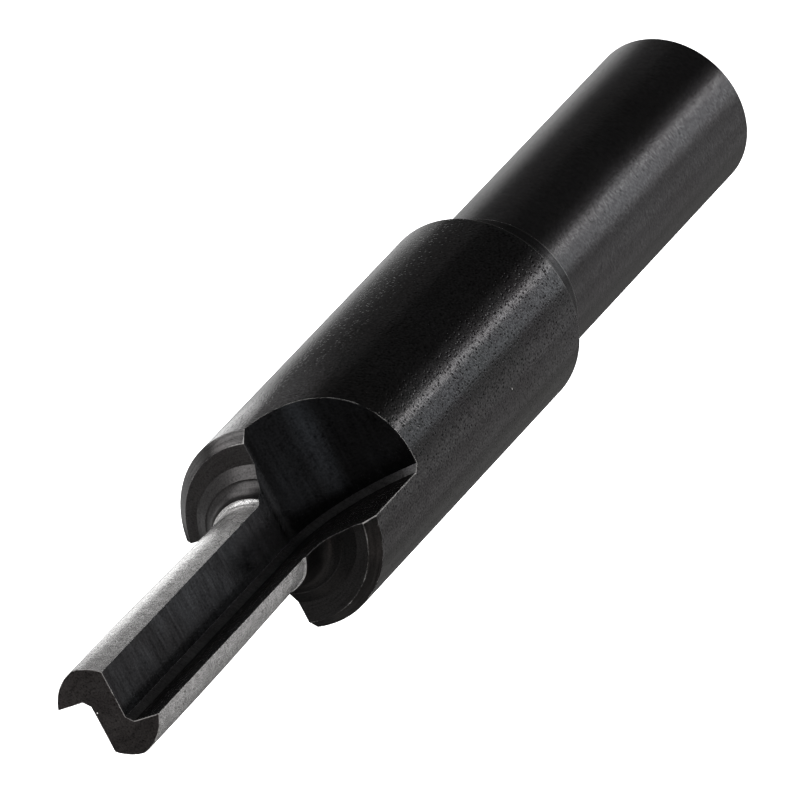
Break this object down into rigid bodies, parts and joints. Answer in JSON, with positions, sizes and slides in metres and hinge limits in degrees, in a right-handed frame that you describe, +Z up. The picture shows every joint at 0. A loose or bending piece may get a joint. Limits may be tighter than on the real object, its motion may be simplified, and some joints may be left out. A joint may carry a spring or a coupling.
{
  "type": "wood milling cutter",
  "caption": "Straight-shank milling cutter for wood: a thick body steps down to a slender tip, whose straight flutes run out into the body.",
  "frame": {"origin": "centre of the flat end of the shank", "axes": "+Z up the tool's axis towards its cutting tip; the flutes open towards +X and -X, with their rake faces parallel to the XZ plane"},
  "size_m": [0.01, 0.01, 0.0606],
  "materials": {
    "tool_steel": "blackened and finely turned, grainy on the body, with bare ground lands on the tip"
  },
  "bodies": {
    "root": {"milling_cutter": "tool_steel"}
  },
  "joints": []
}
